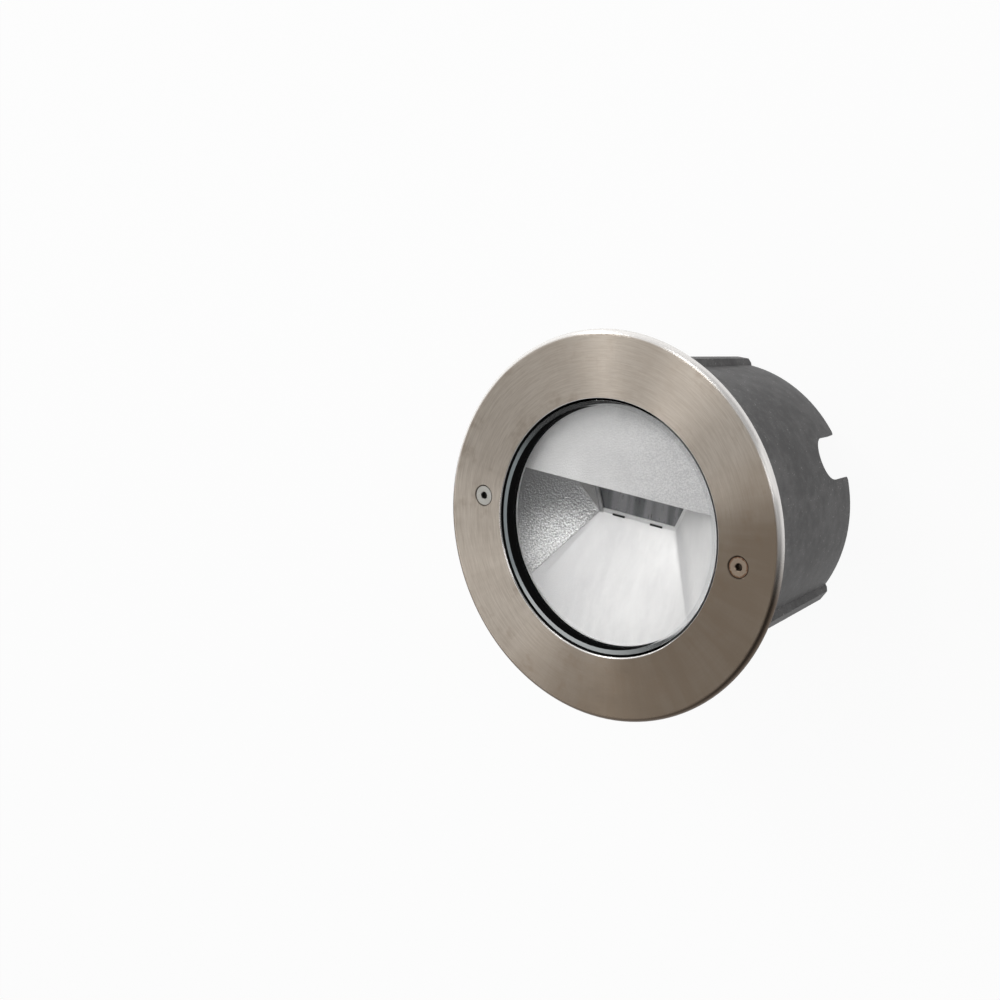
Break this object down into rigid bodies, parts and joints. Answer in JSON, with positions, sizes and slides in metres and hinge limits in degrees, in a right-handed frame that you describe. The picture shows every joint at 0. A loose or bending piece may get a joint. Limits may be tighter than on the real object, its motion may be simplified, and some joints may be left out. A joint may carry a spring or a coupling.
{
  "type": "in ground well light",
  "caption": "Round recessed ground light: stainless trim, stepped glass, hooded asymmetric reflector, and a ribbed plastic sleeve with cable notches.",
  "frame": {"origin": "centre of the sleeve's rear rim, on the plane that the light stands on", "axes": "+Z out of the lens, +Y from the axis towards the reflector's hood, the two bezel screws on the X axis"},
  "size_m": [0.185, 0.185, 0.116],
  "materials": {
    "sleeve_plastic": "moulded, fine texture, light scuffs",
    "brass": "machined",
    "cast_body": "die cast, dark powder coat",
    "clear_glass": "polished, ground edge",
    "black_rubber": "matt silicone",
    "black_metal": "black coat",
    "stainless_screw": "turned stainless steel",
    "stained_screw": "turned stainless steel with a brown tint",
    "reflector_metal": "hammered, anodised",
    "plate_metal": "rolled sheet",
    "board_white": "white solder mask",
    "chip_yellow": "phosphor",
    "driver_plastic": "moulded",
    "terminal_plastic": "moulded",
    "black_plastic": "moulded",
    "trim_steel": "brushed in circles",
    "nylon": "natural nylon"
  },
  "bodies": {
    "sleeve": {"installation_sleeve": "sleeve_plastic", "threaded_inserts": "brass"},
    "luminaire": {"canister": "cast_body", "lens_glass": "clear_glass", "lens_gasket": "black_rubber", "clamp_ring": "black_metal", "clamp_screws": "stainless_screw", "reflector_hood": "reflector_metal", "reflector_bowl": "reflector_metal", "chassis_plate": "plate_metal", "chassis_screws": "stainless_screw", "lamp_bracket": "plate_metal", "bracket_screws": "stainless_screw", "lamp_board": "board_white", "lamp_chips": "chip_yellow", "driver": "driver_plastic", "driver_screws": "stainless_screw", "terminal_block": "terminal_plastic", "terminal_screws": "brass", "earth_screw": "brass", "cable_gland": "black_plastic", "gland_o_ring": "black_rubber", "gland_seal": "black_rubber", "gland_nut": "black_plastic", "gland_locknut": "black_plastic", "breather_valve": "black_plastic"},
    "trim": {"trim_ring": "trim_steel", "trim_gasket": "black_rubber"},
    "left_washer": {"washer_left": "nylon"},
    "right_washer": {"washer_right": "nylon"},
    "left_screw": {"bezel_screw_left": "stainless_screw"},
    "right_screw": {"bezel_screw_right": "stained_screw"}
  },
  "joints": [
    {"name": "luminaire_lift", "type": "slide", "parent": "sleeve", "child": "luminaire", "axis": [0, 0, 1], "range_m": [0, 0.12]},
    {"name": "trim_lift", "type": "slide", "parent": "luminaire", "child": "trim", "axis": [0, 0, 1], "range_m": [0, 0.03]},
    {"name": "left_washer_slide", "type": "slide", "parent": "trim", "child": "left_washer", "axis": [0, 0, 1], "range_m": [0, 0.006]},
    {"name": "right_washer_slide", "type": "slide", "parent": "trim", "child": "right_washer", "axis": [0, 0, 1], "range_m": [0, 0.006]},
    {"name": "left_screw_turn", "type": "hinge", "parent": "left_washer", "child": "left_screw", "pos_m": [-0.072, 0, 0.105], "axis": [0, 0, 1], "range_deg": [0, 2700]},
    {"name": "right_screw_turn", "type": "hinge", "parent": "right_washer", "child": "right_screw", "pos_m": [0.072, 0, 0.105], "axis": [0, 0, 1], "range_deg": [0, 2700]}
  ],
  "couplings": [
    {"joint": "left_screw_turn", "follows": "left_washer_slide", "rad_per_m": 7854},
    {"joint": "right_screw_turn", "follows": "right_washer_slide", "rad_per_m": 7854}
  ]
}
